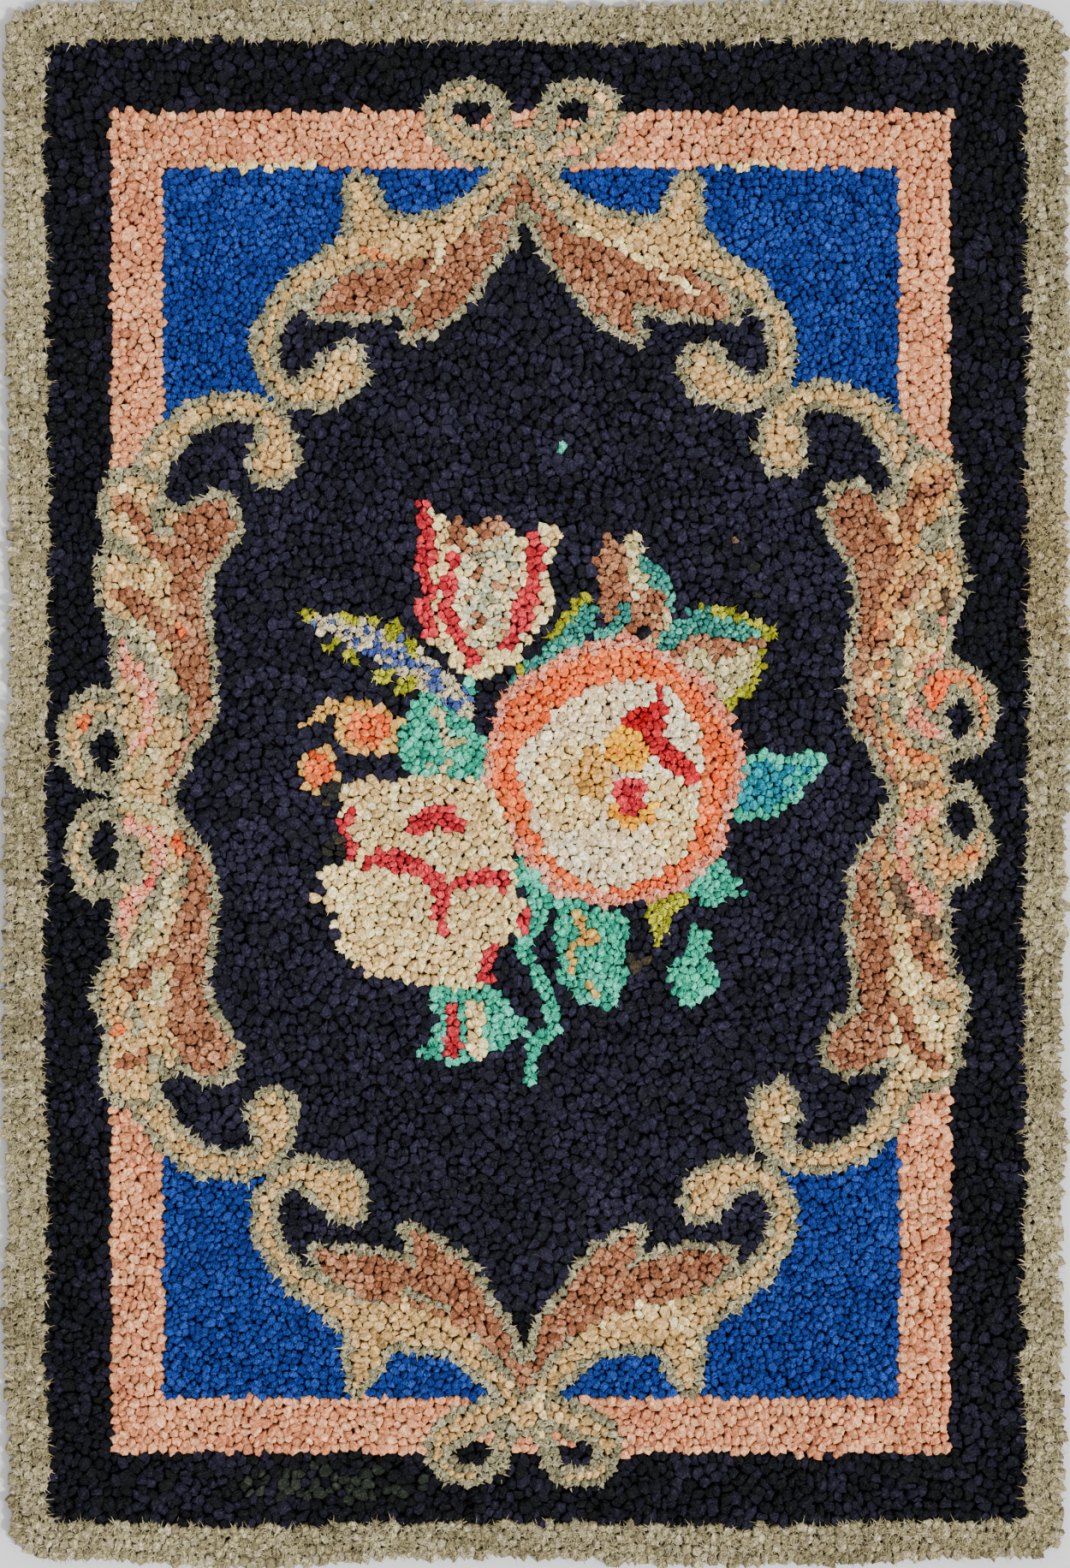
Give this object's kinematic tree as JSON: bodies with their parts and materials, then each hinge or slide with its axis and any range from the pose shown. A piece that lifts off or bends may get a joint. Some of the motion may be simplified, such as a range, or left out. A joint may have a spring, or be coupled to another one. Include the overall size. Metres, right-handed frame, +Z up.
{
  "type": "hooked rug",
  "caption": "Small rectangular hooked rag rug with a hemmed hessian foundation, a looped field with scrolls and flowers, and a frayed looped border.",
  "frame": {"origin": "middle of the rug's outline, on the surface that it lies on", "axes": "+Y along the rug's length towards the pattern's top, +X across its width to the right of the pattern, +Z up out of the pile"},
  "size_m": [0.6906, 1.016, 0.0104],
  "materials": {
    "hessian": "coarse woven jute",
    "taupe_strips": "frayed woven strips hooked in rows",
    "dark_strips": "soft cotton strips hooked in loops",
    "pink_strips": "soft cotton strips hooked in loops",
    "blue_strips": "fine ribbed strips hooked in loops",
    "brown_strips": "soft cotton strips hooked in loops",
    "gold_strips": "soft cotton strips hooked in loops",
    "sage_strips": "frayed woven strips hooked in rows",
    "cream_strips": "soft cotton strips hooked in loops",
    "red_strips": "soft cotton strips hooked in loops",
    "green_strips": "soft cotton strips hooked in loops"
  },
  "bodies": {
    "root": {"foundation": "hessian", "pile_border": "taupe_strips", "pile_field": "dark_strips"}
  },
  "joints": []
}
